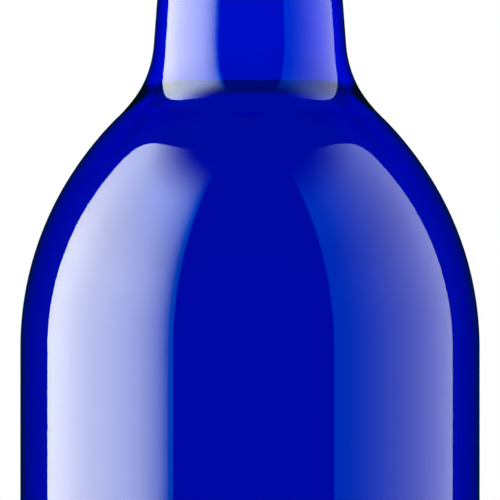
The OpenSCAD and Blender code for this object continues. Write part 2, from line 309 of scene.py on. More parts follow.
def sweepWire(path, d, sides=24, closed=False, endR=0.4):
    # round wire along a path in millimetres: vertices, faces, and (along, around) for each face corner
    count = len(path)
    tangents = []
    for i in range(count):
        if closed:
            tangents.append((path[(i + 1) % count] - path[i - 1]).normalized())
        else:
            tangents.append((path[min(i + 1, count - 1)] - path[max(i - 1, 0)]).normalized())
    normal = tangents[0].orthogonal().normalized()
    normals = [normal]
    for a, b in zip(tangents, tangents[1:]):
        normal = a.rotation_difference(b) @ normal
        normal = (normal - b * b.dot(normal)).normalized()
        normals.append(normal)
    length = [0.0]
    for a, b in zip(path, path[1:]):
        length.append(length[-1] + (b - a).length)
    stations = [(p, t, n, s, d / 2) for p, t, n, s in zip(path, tangents, normals, length)]
    if not closed:
        # the cut ends have a small round edge
        first, last = stations[0], stations[-1]
        head, tail = [], []
        for i in range(4):
            q = math.radians(90.0 * i / 4)
            inset, r = endR * (1 - math.sin(q)), d / 2 - endR * (1 - math.cos(math.pi / 2 - q))
            head.append((first[0] + first[1] * inset, first[1], first[2], inset, r))
            tail.append((last[0] - last[1] * inset, last[1], last[2], last[3] - inset, r))
        inner = [s for s in stations if endR < s[3] < length[-1] - endR]
        stations = head + inner + tail[::-1]
    verts, faces, uvs = [], [], []
    for p, t, n, s, r in stations:
        side = t.cross(n)
        for j in range(sides):
            a = 2 * math.pi * j / sides
            verts.append((p + n * (r * math.cos(a)) + side * (r * math.sin(a))) * mm)
    total = len(stations)
    for i in range(total if closed else total - 1):
        k = (i + 1) % total
        s0 = stations[i][3]
        s1 = stations[k][3] if k else length[-1] + (path[0] - path[-1]).length
        for j in range(sides):
            after = (j + 1) % sides
            faces.append((i * sides + j, i * sides + after, k * sides + after, k * sides + j))
            uvs.append(((s0, j / sides), (s0, (j + 1) / sides), (s1, (j + 1) / sides), (s1, j / sides)))
    if not closed:
        for i, flip in ((0, True), (total - 1, False)):
            centre = len(verts)
            verts.append(stations[i][0] * mm)
            for j in range(sides):
                ring = (i * sides + j, i * sides + (j + 1) % sides)
                faces.append((ring[1], ring[0], centre) if flip else (ring[0], ring[1], centre))
                uvs.append(((stations[i][3], j / sides),) * 3)
    return verts, faces, uvs


def weldBead(centre, r, seed, rings=8, sides=14):
    # a small uneven drop of weld metal
    verts, faces, uvs = [], [], []
    centre = Vector(centre)
    for i in range(rings + 1):
        a = math.pi * i / rings
        for j in range(sides if 0 < i < rings else 1):
            b = 2 * math.pi * j / sides
            way = Vector((math.sin(a) * math.cos(b), math.sin(a) * math.sin(b), math.cos(a)))
            grow = 1 + 0.10 * noise.noise(way * 1.6 + Vector((seed, 0, 0)))
            verts.append((centre + Vector((way.x * r[0], way.y * r[1], way.z * r[2])) * grow) * mm)

    def at(i, j):
        # the first and last rings are single points
        return 0 if i == 0 else 1 + (i - 1) * sides + (j % sides if i < rings else 0)

    for i in range(rings):
        for j in range(sides):
            face = [at(i, j), at(i + 1, j), at(i + 1, j + 1), at(i, j + 1)]
            face = [v for n, v in enumerate(face) if v not in face[:n]]
            faces.append(tuple(face))
            uvs.append(((seed * 7.0, j / sides),) * len(face))
    return verts, faces, uvs


def joinParts(name, parts):
    # one object of several closed pieces, with their marks along and around the wire kept as a UV map
    verts, faces, corners = [], [], []
    for v, f, u in parts:
        base = len(verts)
        verts += v
        faces += [tuple(base + i for i in face) for face in f]
        corners += [c for face in u for c in face]
    obj = makeObject(name, verts, faces)
    layer = obj.data.uv_layers.new(name="alongAround")
    for loop, (s, a) in zip(layer.data, corners):
        loop.uv = (s * mapScale, a)
    return obj


def maskBy(obj, name, spots):
    # a value from 0 to 1 at each vertex: 1 at a spot and 0 at its reach, all in millimetres
    layer = obj.data.attributes.new(name=name, type="FLOAT", domain="POINT")
    for v, item in zip(obj.data.vertices, layer.data):
        p = v.co / mm
        near = max(1 - (p - Vector(c)).length / reach for c, reach in spots)
        item.value = max(0.0, min(1.0, near))


def bothSides(x, y, z, reach):
    return [((s * x, y, z), reach) for s in (-1, 1)]


# where the wires and the stopper meet
closure = {
    "pivotZ": 233.1, "crank": 10.0, "pastCentre": 4.0,
    "webX": 16.75, "coilPitch": 2.35, "coilR": 2.2, "yokeX": 21.5, "holeZ": 256.9,
}
# the middle of the coils, which the yoke's hooks turn in
pullY = -closure["crank"] * math.sin(math.radians(closure["pastCentre"]))
pullZ = closure["pivotZ"] - closure["crank"] * math.cos(math.radians(closure["pastCentre"]))


def mirrorX(path):
    return [Vector((-p.x, p.y, p.z)) for p in reversed(path)]


collar = {
    "wire": 1.8, "z": bottle["height"] - bottle["lipH"] - bottle["grooveH"] / 2,    # in the groove's middle
    "ringR": 13.1, "eyeR": 2.1, "eyeX": 14.45,
    "lapAngle": 34.0, "lapOut": 1.35,
    "beadSize": (0.95, 1.25, 0.9), "beadOut": 0.6, "lapBeadSize": (0.8, 0.8, 0.75),
    "heatReach": 4.5, "lapHeatReach": 4.0, "wearReach": 1.9,
}


def makeCollar(c):
    eyeZ, beadX = closure["pivotZ"], c["ringR"] + c["beadOut"]
    ring = ringPath((0, 0, c["z"]), c["ringR"], (1, 0, 0), (0, 1, 0), stepAngle=3.0)
    parts = [sweepWire(ring, c["wire"], closed=True)]
    for side in (-1, 1):
        eye = ringPath((side * c["eyeX"], 0, eyeZ), c["eyeR"], (0, 1, 0), (0, 0, 1), stepAngle=10.0)
        parts.append(sweepWire(eye, c["wire"], closed=True))
        parts.append(weldBead((side * beadX, 0, c["z"]), c["beadSize"], seed=3.0 + side))
    a = math.radians(-90.0 - c["lapAngle"] / 2)
    start, heading = (math.cos(a), math.sin(a), 0), (-math.sin(a), math.cos(a), 0)
    lap = ringPath((0, 0, c["z"]), c["ringR"] + c["lapOut"], start, heading, c["lapAngle"], 3.0)
    parts.append(sweepWire(lap, c["wire"]))
    for end, seed in ((lap[1], 9.0), (lap[-2], 11.0)):
        out = Vector((end.x, end.y, 0)).normalized()
        parts.append(weldBead(end - out * (c["lapOut"] / 2), c["lapBeadSize"], seed))
    obj = joinParts("neckCollar", parts)
    welds = bothSides(beadX, 0, c["z"], c["heatReach"])
    maskBy(obj, "heat", welds + [(end, c["lapHeatReach"]) for end in (lap[0], lap[-1])])
    maskBy(obj, "wear", bothSides(c["eyeX"], 0, eyeZ, c["wearReach"]))
    return obj


lever = {
    "wire": 2.2, "pinEndX": 13.5, "pinBendR": 1.9,
    "drop": 43.0, "restPart": 0.77, "restGap": 0.3, "thumbW": 17.0, "thumbReach": 7.0,
    "bends": [6.0, 5.0, 3.2, 3.2, 5.0, 6.0], "endR": 0.45,
    # a straight below the coil, and how much wider apart the legs are where they pass the neck
    "legStart": 5.5, "legOut": 0.8,
    # places rubbed bright: how far along X, and how far round
    "coilWear": (1.2, 2.6), "pinWear": (1.0, 2.4), "thumbWear": ((0, 9.0), (4, 6.0), (-4, 6.0)),
}


def makeLever(v, coilSteps=48):
    pivotZ, webX, coilR = closure["pivotZ"], closure["webX"], closure["coilR"]
    webA = math.radians(closure["pastCentre"]) - math.asin(coilR / closure["crank"])
    way = Vector((0, -math.sin(webA), -math.cos(webA)))
    side = Vector((0, math.cos(webA), -math.sin(webA)))

    def neckRadius(z):
        return bottle["neckD"] / 2 + (flareZ - z) * math.tan(math.radians(bottle["flare"]))

    flareZ = flareTop(bottle)
    restZ, thumbZ = pivotZ - v["restPart"] * v["drop"], pivotZ - v["drop"]
    restR = neckRadius(min(restZ, flareZ)) + v["wire"] / 2 + v["restGap"]
    restX = v["thumbW"] / 2 + v["legOut"]
    restY = math.sqrt(restR ** 2 - restX ** 2)
    thumbY = neckRadius(thumbZ) + v["thumbReach"]
    pull = Vector((webX, pullY, pullZ))
    pin = bentPath([(v["pinEndX"], 0, pivotZ), (webX, 0, pivotZ), pull + side * coilR], [v["pinBendR"]], 8.0)
    coil = []
    for i in range(1, coilSteps):
        t = 2 * math.pi * i / coilSteps
        out = closure["coilPitch"] * (t - math.sin(t)) / (2 * math.pi)
        coil.append(pull + side * (coilR * math.cos(t)) + way * (coilR * math.sin(t)) + Vector((out, 0, 0)))
    coilEnd = pull + side * coilR + Vector((closure["coilPitch"], 0, 0))
    right = [coilEnd, coilEnd + way * v["legStart"],
             Vector((restX, restY, restZ)), Vector((v["thumbW"] / 2, thumbY, thumbZ))]
    legs = bentPath(right + mirrorX(right), v["bends"])
    rightSide = pin + coil
    path = rightSide + legs + mirrorX(rightSide)
    obj = joinParts("thumbLever", [sweepWire(path, v["wire"], endR=v["endR"])])
    spots = [((x, thumbY, thumbZ), reach) for x, reach in v["thumbWear"]]
    spots += bothSides(webX + v["coilWear"][0], pullY, pullZ, v["coilWear"][1])
    spots += bothSides(v["pinEndX"] + v["pinWear"][0], 0, pivotZ, v["pinWear"][1])
    maskBy(obj, "wear", spots)
    return obj


yoke = {
    "wire": 2.0, "endX": 15.15, "hookR": 1.8, "bendR": 4.0,
    # places rubbed bright: their X, and how far round
    "hookWear": (17.0, 3.0), "holeWear": (12.2, 2.0),
}


def makeYoke(v):
    yokeX, holeZ = closure["yokeX"], closure["holeZ"]
    right = [Vector((v["endX"], pullY, pullZ)), Vector((yokeX, pullY, pullZ)), Vector((yokeX, 0, holeZ))]
    path = bentPath(right + mirrorX(right), [v["hookR"], v["bendR"], v["bendR"], v["hookR"]])
    obj = joinParts("wireYoke", [sweepWire(path, v["wire"])])
    (hookX, hookReach), (throughX, throughReach) = v["hookWear"], v["holeWear"]
    spots = bothSides(hookX, pullY, pullZ, hookReach) + bothSides(throughX, 0, holeZ, throughReach)
    maskBy(obj, "wear", spots)
    return obj


standFor(makeCollar(collar), "neck_collar", "collar")
standFor(makeLever(lever), "lever", "lever")
standFor(makeYoke(yoke), "yoke", "yoke")

washer = {
    "lowZ": 245.3, "height": 3.6, "outD": 23.2, "edgeR": 0.7, "boreEdge": 0.25,
    # the mould line round it: how far it stands out, and half its height at the foot and the tip
    "flashOut": 0.09, "flashFootH": 0.16, "flashTipH": 0.05,
    "aroundSteps": 144, "sharpAngle": 50,
}
stopper = {
    "headD": 24.8, "holeUp": 8.0, "cornerR": 6.5, "cornerA": 65.0, "cornerUnderHole": 1.0, "edgeR": 1.2,
    "sideLean": 0.5,                   # how far the head's side comes in by the hole's height
    "knobD": 13.6, "knobH": 5.2, "knobEdgeR": 1.8, "knobTopR": 0.25, "knobFlatR": 1.5,
    "stemD": 11.2, "stemFoot": 0.2, "holeR": 1.1, "holeMouthR": 0.9,
    "unevenness": 0.04, "unevenScale": 0.11,
    "aroundSteps": 144, "sharpAngle": 42,
}


def shadeSmooth(mesh, sharpAngle):
    mesh.polygons.foreach_set("use_smooth", [True] * len(mesh.polygons))
    mesh.set_sharp_from_angle(angle=math.radians(sharpAngle))


def makeStopper(p):
    washerZ, headZ = washer["lowZ"], washer["lowZ"] + washer["height"]
    sideR = p["headD"] / 2 - p["sideLean"]
    cornerX = sideR - p["cornerR"]
    cornerZ = headZ + p["holeUp"] - p["cornerUnderHole"]
    domeZ = cornerZ - cornerX * math.tan(math.radians(p["cornerA"]))
    domeR = p["cornerR"] + cornerX / math.cos(math.radians(p["cornerA"]))
    knobZ = washerZ - p["knobH"]
    knobR, stemR, edge = p["knobD"] / 2, p["stemD"] / 2, p["edgeR"]
    knobEdge, knobTop, foot = p["knobEdgeR"], p["knobTopR"], p["stemFoot"]
    dome = arc(0, domeZ, domeR, p["cornerA"], 90, 24)
    dome[-1] = (0.0, domeZ + domeR)
    under = sideOf((stemR, headZ), (p["headD"] / 2 - edge, headZ), 10)
    sideTop = arc(p["headD"] / 2 - edge, headZ + edge, edge, -90, 0, 10)
    profile = [(0.0, knobZ)] + sideOf((p["knobFlatR"], knobZ), (knobR - knobEdge, knobZ), 4) + \
        arc(knobR - knobEdge, knobZ + knobEdge, knobEdge, -90, 0, 10) + \
        sideOf((knobR, knobZ + knobEdge), (knobR, washerZ - knobTop), 4)[1:] + \
        arc(knobR - knobTop, washerZ - knobTop, knobTop, 0, 90, 4) + \
        [(stemR + foot, washerZ), (stemR, washerZ + foot)] + \
        sideOf((stemR, washerZ + foot), (stemR, headZ), 6)[1:] + under + sideTop + \
        sideOf(sideTop[-1], (cornerX + p["cornerR"], cornerZ), 10)[1:] + \
        arc(cornerX, cornerZ, p["cornerR"], 0, p["cornerA"], 24) + dome[1:]

    def shape(k, r, z, a):
        # the fired clay is a little out of true above the washer, and true at its foot and its axis
        if z < headZ + 0.5 or r < 0.5:
            return r, z
        soft = noise.noise(Vector((math.cos(a) * r, math.sin(a) * r, z)) * p["unevenScale"])
        drawn = p["unevenness"] * (soft - 0.6)
        return r + drawn * min(1.0, r / 4), z

    body = lathe("porcelainStopper", profile, evenAngles(p["aroundSteps"]), shape)
    # the cross hole, with rounded mouths. The shape that cuts it goes on 2 mm past the side
    holeR, mouth, beyond = p["holeR"], p["holeMouthR"], 2.0
    half = [(holeR, 0.0)]
    for a in range(0, 91, 10):
        half.append((holeR + mouth - mouth * math.cos(math.radians(a)),
                     sideR - mouth + mouth * math.sin(math.radians(a))))
    half += [(holeR + mouth + 0.02, sideR + beyond), (0.0, sideR + beyond)]
    tool = lathe("holeTool", [(r, -x) for r, x in reversed(half)] + half[1:], evenAngles(48))
    for v in tool.data.vertices:
        v.co = Vector((v.co.z, v.co.y, -v.co.x + (headZ + p["holeUp"]) * mm))
    cut = body.modifiers.new("hole", "BOOLEAN")
    cut.operation, cut.solver, cut.object = "DIFFERENCE", "EXACT", tool
    graph = bpy.context.evaluated_depsgraph_get()
    drilled = bpy.data.meshes.new_from_object(body.evaluated_get(graph))
    body.modifiers.clear()
    body.data = drilled
    bpy.data.objects.remove(tool)
    shadeSmooth(drilled, p["sharpAngle"])
    return body


def makeWasher(w):
    low, top = w["lowZ"], w["lowZ"] + w["height"]
    outR, inR, edge, bore = w["outD"] / 2, stopper["stemD"] / 2, w["edgeR"], w["boreEdge"]
    middle, sideR = (top + low) / 2, outR - w["flashOut"]
    footH, tipH = w["flashFootH"], w["flashTipH"]
    flash = [(sideR, middle - footH), (outR, middle - tipH), (outR, middle + tipH), (sideR, middle + footH)]
    profile = [(inR, middle), (inR, low + bore), (inR + bore, low)] + \
        sideOf((inR + bore, low), (outR - edge, low), 10)[1:] + \
        arc(sideR - edge, low + edge, edge, -90, 0, 8) + flash + \
        arc(sideR - edge, top - edge, edge, 0, 90, 8) + \
        sideOf((outR - edge, top), (inR + bore, top), 10)[1:] + \
        [(inR + bore, top), (inR, top - bore), (inR, middle)]
    obj = lathe("rubberWasher", profile, evenAngles(w["aroundSteps"]))
    weld = bmesh.new()
    weld.from_mesh(obj.data)
    bmesh.ops.remove_doubles(weld, verts=weld.verts, dist=1e-6)
    bmesh.ops.recalc_face_normals(weld, faces=weld.faces)
    weld.to_mesh(obj.data)
    weld.free()
    shadeSmooth(obj.data, w["sharpAngle"])
    return obj


standFor(makeStopper(stopper), "stopper", "stopper")
standFor(makeWasher(washer), "washer", "stopper")


def newMaterial(name):
    mat = bpy.data.materials.new(name)
    mat.use_nodes = True
    nodes, links = mat.node_tree.nodes, mat.node_tree.links
    nodes.clear()
    out = nodes.new("ShaderNodeOutputMaterial")
    shader = nodes.new("ShaderNodeBsdfPrincipled")
    links.new(shader.outputs["BSDF"], out.inputs["Surface"])
    return mat, nodes, links, shader, out


def feed(links, socket, v):
    # a number or a colour is set on the socket, and another node's output is linked to it
    if isinstance(v, (int, float)):
        socket.default_value = v
    elif isinstance(v, tuple):
        socket.default_value = v + (1.0,)
    else:
        links.new(v, socket)


def shortForms(nodes, links):
    # for one tree of nodes: a math node, and a smooth step between two levels
    def m(op, *values):
        n = nodes.new("ShaderNodeMath")
        n.operation = op
        for socket, v in zip(n.inputs, values):
            feed(links, socket, v)
        return n.outputs[0]

    def ease(value, low, high, toLow=0.0, toHigh=1.0):
        # goes from toLow to toHigh as the value goes from low to high
        n = nodes.new("ShaderNodeMapRange")
        n.interpolation_type = "SMOOTHSTEP"
        for socket, v in zip(n.inputs, (value, low, high, toLow, toHigh)):
            feed(links, socket, v)
        return n.outputs[0]

    return m, ease


def noiseNode(nodes, links, vector, scale, detail=3.0, roughness=0.5):
    n = nodes.new("ShaderNodeTexNoise")
    n.inputs["Scale"].default_value = scale
    n.inputs["Detail"].default_value = detail
    n.inputs["Roughness"].default_value = roughness
    links.new(vector, n.inputs["Vector"])
    return n.outputs["Fac"]


def mixColours(nodes, links, factor, a, b):
    n = nodes.new("ShaderNodeMix")
    n.data_type = "RGBA"
    for socket, v in ((n.inputs[0], factor), (n.inputs[6], a), (n.inputs[7], b)):
        feed(links, socket, v)
    return n.outputs[2]


def bumpNode(nodes, links, height, distance, strength=1.0, after=None):
    n = nodes.new("ShaderNodeBump")
    n.inputs["Strength"].default_value = strength
    n.inputs["Distance"].default_value = distance
    links.new(height, n.inputs["Height"])
    if after is not None:
        links.new(after, n.inputs["Normal"])
    return n.outputs["Normal"]


def splitNode(nodes, links, vector):
    n = nodes.new("ShaderNodeSeparateXYZ")
    links.new(vector, n.inputs[0])
    return n.outputs


def objectPlace(nodes):
    return nodes.new("ShaderNodeTexCoord").outputs["Object"]


def maskNode(nodes, name):
    n = nodes.new("ShaderNodeAttribute")
    n.attribute_name = name
    return n.outputs["Fac"]


def drawnMarksGroup():
    # lines drawn along a wire and soft patches round it, from the map of lengths along and turns around
    group = bpy.data.node_groups.new("drawnMarks", "ShaderNodeTree")
    for name, value in (("Line Length", 0.5), ("Line Count", 9.0), ("Patch Size", 3.0)):
        group.interface.new_socket(name, in_out="INPUT", socket_type="NodeSocketFloat").default_value = value
    for name in ("Lines", "Patches"):
        group.interface.new_socket(name, in_out="OUTPUT", socket_type="NodeSocketFloat")
    nodes, links = group.nodes, group.links
    given, result = nodes.new("NodeGroupInput"), nodes.new("NodeGroupOutput")
    m, ease = shortForms(nodes, links)
    mapNode = nodes.new("ShaderNodeUVMap")
    mapNode.uv_map = "alongAround"
    mapX, mapY, _ = splitNode(nodes, links, mapNode.outputs[0])
    along = m("MULTIPLY", mapX, 1 / mapScale)
    turn = m("MULTIPLY", mapY, 2 * math.pi)

    def spot(alongScale, aroundScale):
        n = nodes.new("ShaderNodeCombineXYZ")
        links.new(m("MULTIPLY", along, alongScale), n.inputs[0])
        links.new(m("MULTIPLY", m("COSINE", turn), aroundScale), n.inputs[1])
        links.new(m("MULTIPLY", m("SINE", turn), aroundScale), n.inputs[2])
        return n.outputs[0]

    lines = noiseNode(nodes, links, spot(m("DIVIDE", 0.1, given.outputs["Line Length"]),
                                         given.outputs["Line Count"]), 1.0, 4.0, 0.6)
    size = m("DIVIDE", 1.0, given.outputs["Patch Size"])
    patches = noiseNode(nodes, links, spot(size, m("MULTIPLY", size, 1.2)), 1.0, 3.0, 0.55)
    links.new(lines, result.inputs["Lines"])
    links.new(ease(patches, 0.36, 0.64), result.inputs["Patches"])
    return group


def specksGroup():
    # scattered small spots, from 0 to 1 at their middles
    group = bpy.data.node_groups.new("specks", "ShaderNodeTree")
    group.interface.new_socket("Vector", in_out="INPUT", socket_type="NodeSocketVector")
    for name, value in (("Scale", 300.0), ("Size", 0.12), ("Share", 0.2)):
        group.interface.new_socket(name, in_out="INPUT", socket_type="NodeSocketFloat").default_value = value
    group.interface.new_socket("Specks", in_out="OUTPUT", socket_type="NodeSocketFloat")
    nodes, links = group.nodes, group.links
    given, result = nodes.new("NodeGroupInput"), nodes.new("NodeGroupOutput")
    m, ease = shortForms(nodes, links)
    cells = nodes.new("ShaderNodeTexVoronoi")
    links.new(given.outputs["Vector"], cells.inputs["Vector"])
    links.new(given.outputs["Scale"], cells.inputs["Scale"])
    near = ease(cells.outputs["Distance"], given.outputs["Size"], 0.0)
    split = nodes.new("ShaderNodeSeparateColor")
    links.new(cells.outputs["Color"], split.inputs[0])
    chosen = m("LESS_THAN", split.outputs[0], given.outputs["Share"])
    links.new(m("MULTIPLY", near, chosen), result.inputs["Specks"])
    return group


drawnMarks, specks = drawnMarksGroup(), specksGroup()


def useGroup(nodes, group, **values):
    n = nodes.new("ShaderNodeGroup")
    n.node_tree = group
    for name, v in values.items():
        n.inputs[name].default_value = v
    return n


glassLook = {
    "ior": 1.5,
    "perMetre": (2600.0, 1500.0, 128.0),   # how strongly the glass takes out red, green and blue
    # a darker band at the neck's foot is painted shade, standing in for the shade that the thicker glass
    # there throws
    "paintedShadeFrom": (166.8, 167.8), "paintedShadeTo": (168.5, 169.7), "paintedShade": (0.38, 0.38, 0.40),
    "rippleSize": 14.0, "rippleH": 0.0000006,
}


def glassMaterial(g):
    mat, nodes, links, shader, out = newMaterial("cobaltGlass")
    shader.inputs["Roughness"].default_value = 0.0
    shader.inputs["IOR"].default_value = g["ior"]
    shader.inputs["Transmission Weight"].default_value = 1.0
    shader.inputs["Metallic"].default_value = 0.0
    at = objectPlace(nodes)
    m, ease = shortForms(nodes, links)
    ripple = noiseNode(nodes, links, at, 1000.0 / g["rippleSize"], 2.0)
    links.new(bumpNode(nodes, links, ripple, g["rippleH"]), shader.inputs["Normal"])
    height = splitNode(nodes, links, at)[2]
    # painted shade: the base colour darkens in this band at the neck's foot
    over = ease(height, *(z * mm for z in g["paintedShadeFrom"]))
    under = ease(height, *(z * mm for z in g["paintedShadeTo"]), 1.0, 0.0)
    paintedShadeBand = m("MULTIPLY", over, under)
    links.new(mixColours(nodes, links, paintedShadeBand, (1.0, 1.0, 1.0), g["paintedShade"]), shader.inputs["Base Color"])
    top = max(g["perMetre"])
    absorb = nodes.new("ShaderNodeVolumeAbsorption")
    absorb.inputs["Color"].default_value = tuple(1 - c / top for c in g["perMetre"]) + (1.0,)
    absorb.inputs["Density"].default_value = top
    links.new(absorb.outputs["Volume"], out.inputs["Volume"])
    return mat


steelLook = {
    "neckCollar": {"bright": (0.66, 0.66, 0.67), "dull": (0.46, 0.46, 0.48), "rough": (0.26, 0.42),
                   "heat": (0.52, 0.40, 0.24)},
    "thumbLever": {"bright": (0.70, 0.70, 0.71), "dull": (0.52, 0.52, 0.54), "rough": (0.20, 0.36)},
    "wireYoke": {"bright": (0.68, 0.68, 0.69), "dull": (0.50, 0.50, 0.52), "rough": (0.22, 0.38)},
}
steelMarks = {
    "lineLength": 2.5, "lineCount": 7.0, "patchSize": 5.0, "lineH": 0.00001, "lineStrength": 0.6,
    "streakFrom": (0.35, 0.7), "streak": 0.25, "streakRough": 0.06,
    "wornFrom": (0.05, 0.6), "wornRough": -0.05, "heatFrom": (0.1, 0.75), "heat": 0.65,
}


def steelMaterial(name, s, t):
    mat, nodes, links, shader, _ = newMaterial(name + "Steel")
    m, ease = shortForms(nodes, links)
    marks = useGroup(nodes, drawnMarks, **{"Line Length": t["lineLength"], "Line Count": t["lineCount"],
                                           "Patch Size": t["patchSize"]})
    worn = ease(maskNode(nodes, "wear"), *t["wornFrom"])
    patches = m("MULTIPLY", marks.outputs["Patches"], m("SUBTRACT", 1.0, worn))
    colour = mixColours(nodes, links, patches, s["bright"], s["dull"])
    streak = ease(marks.outputs["Lines"], *t["streakFrom"])
    colour = mixColours(nodes, links, m("MULTIPLY", streak, t["streak"]), colour, s["dull"])
    if "heat" in s:
        tint = ease(maskNode(nodes, "heat"), *t["heatFrom"], 0.0, t["heat"])
        colour = mixColours(nodes, links, tint, colour, s["heat"])
    links.new(colour, shader.inputs["Base Color"])
    shader.inputs["Metallic"].default_value = 1.0
    rough = m("MULTIPLY_ADD", patches, s["rough"][1] - s["rough"][0], s["rough"][0])
    rough = m("MULTIPLY_ADD", streak, t["streakRough"], rough)
    links.new(m("MULTIPLY_ADD", worn, t["wornRough"], rough), shader.inputs["Roughness"])
    lines = bumpNode(nodes, links, marks.outputs["Lines"], t["lineH"], t["lineStrength"])
    links.new(lines, shader.inputs["Normal"])
    return mat


porcelainLook = {
    "glaze": (0.80, 0.79, 0.75), "thin": (0.74, 0.71, 0.64), "bare": (0.70, 0.66, 0.58),
    "speck": (0.20, 0.13, 0.08),
    "ior": 1.5, "coat": 0.5, "rough": 0.16, "poolRough": 0.10, "bareRough": 0.42,
    "poolScale": 130.0, "poolFrom": (0.35, 0.68), "pool": 0.5,
    "speckScale": 420.0, "speckSize": 0.16, "speckShare": 0.10, "speckShade": 0.75,
    # the glaze stops at this height in millimetres, along a slightly wavy line
    "bareBelow": 249.05, "bareFrom": (0.12, -0.06), "edgeScale": 260.0, "edgeWave": 0.0003,
    "softScale": 420.0, "softH": 0.00003, "softStrength": 0.5,
    "grainScale": 3200.0, "grainH": 0.00002, "grainStrength": 0.8,
}


def porcelainMaterial(p):
    mat, nodes, links, shader, _ = newMaterial("glazedPorcelain")
    at = objectPlace(nodes)
    m, ease = shortForms(nodes, links)
    z = splitNode(nodes, links, at)[2]
    pool = ease(noiseNode(nodes, links, at, p["poolScale"], 3.0), *p["poolFrom"])
    colour = mixColours(nodes, links, m("MULTIPLY", pool, p["pool"]), p["glaze"], p["thin"])
    dots = useGroup(nodes, specks, Scale=p["speckScale"], Size=p["speckSize"], Share=p["speckShare"])
    links.new(at, dots.inputs["Vector"])
    colour = mixColours(nodes, links, m("MULTIPLY", dots.outputs[0], p["speckShade"]), colour, p["speck"])
    # the knob and the head's underside are bare
    edge = noiseNode(nodes, links, at, p["edgeScale"], 2.0)
    height = m("MULTIPLY_ADD", m("SUBTRACT", edge, 0.5), p["edgeWave"], z)
    bare = ease(height, *((p["bareBelow"] + more) * mm for more in p["bareFrom"]))
    colour = mixColours(nodes, links, bare, colour, p["bare"])
    links.new(colour, shader.inputs["Base Color"])
    fine = noiseNode(nodes, links, at, p["grainScale"], 2.0)
    rough = m("MULTIPLY_ADD", pool, p["poolRough"], p["rough"])
    rough = m("ADD", rough, m("MULTIPLY", bare, p["bareRough"]))
    links.new(rough, shader.inputs["Roughness"])
    links.new(m("MULTIPLY_ADD", bare, -p["coat"], p["coat"]), shader.inputs["Coat Weight"])
    shader.inputs["Coat Roughness"].default_value = 0.0
    shader.inputs["IOR"].default_value = p["ior"]
    grain = m("MULTIPLY", fine, bare)
    soft = noiseNode(nodes, links, at, p["softScale"], 2.0)
    normal = bumpNode(nodes, links, soft, p["softH"], p["softStrength"])
    normal = bumpNode(nodes, links, grain, p["grainH"], p["grainStrength"], normal)
    links.new(normal, shader.inputs["Normal"])
    return mat


rubberLook = {
    "fresh": (0.50, 0.070, 0.030), "faded": (0.47, 0.115, 0.060), "bloom": (0.60, 0.32, 0.25),
    "rough": 0.52, "dustRough": 0.16, "shine": 0.35,
    "mottleScale": 180.0, "mottleFrom": (0.35, 0.66),
    "dustScale": 900.0, "dustFrom": (0.54, 0.74), "dust": 0.35,
    "skinScale": 2600.0, "skinH": 0.00003, "skinStrength": 0.7,
}


def rubberMaterial(r):
    mat, nodes, links, shader, _ = newMaterial("mouldedRubber")
    at = objectPlace(nodes)
    m, ease = shortForms(nodes, links)
    mottle = ease(noiseNode(nodes, links, at, r["mottleScale"], 4.0), *r["mottleFrom"])
    colour = mixColours(nodes, links, mottle, r["fresh"], r["faded"])
    dust = ease(noiseNode(nodes, links, at, r["dustScale"], 4.0, 0.65), *r["dustFrom"])
    colour = mixColours(nodes, links, m("MULTIPLY", dust, r["dust"]), colour, r["bloom"])
    links.new(colour, shader.inputs["Base Color"])
    links.new(m("MULTIPLY_ADD", dust, r["dustRough"], r["rough"]), shader.inputs["Roughness"])
    shader.inputs["Specular IOR Level"].default_value = r["shine"]
    skin = noiseNode(nodes, links, at, r["skinScale"], 3.0)
    links.new(bumpNode(nodes, links, skin, r["skinH"], r["skinStrength"]), shader.inputs["Normal"])
    return mat


finishes = {"glassBottle": glassMaterial(glassLook)}
for name, look in steelLook.items():
    finishes[name] = steelMaterial(name, look, steelMarks)
finishes["porcelainStopper"] = porcelainMaterial(porcelainLook)
finishes["rubberWasher"] = rubberMaterial(rubberLook)
for name, mat in finishes.items():
    bpy.data.objects[name].data.materials.clear()
    bpy.data.objects[name].data.materials.append(mat)
print("finishes made")

# metres out from the bottle's axis
floorLook = {
    "radius": 1.4, "clearFrom": (0.25, 0.75), "mirrorFrom": (0.042, 0.065),
    "colour": (0.80, 0.80, 0.81), "rough": 0.6, "cloudScale": 30.0, "cloudShade": 0.97,
}


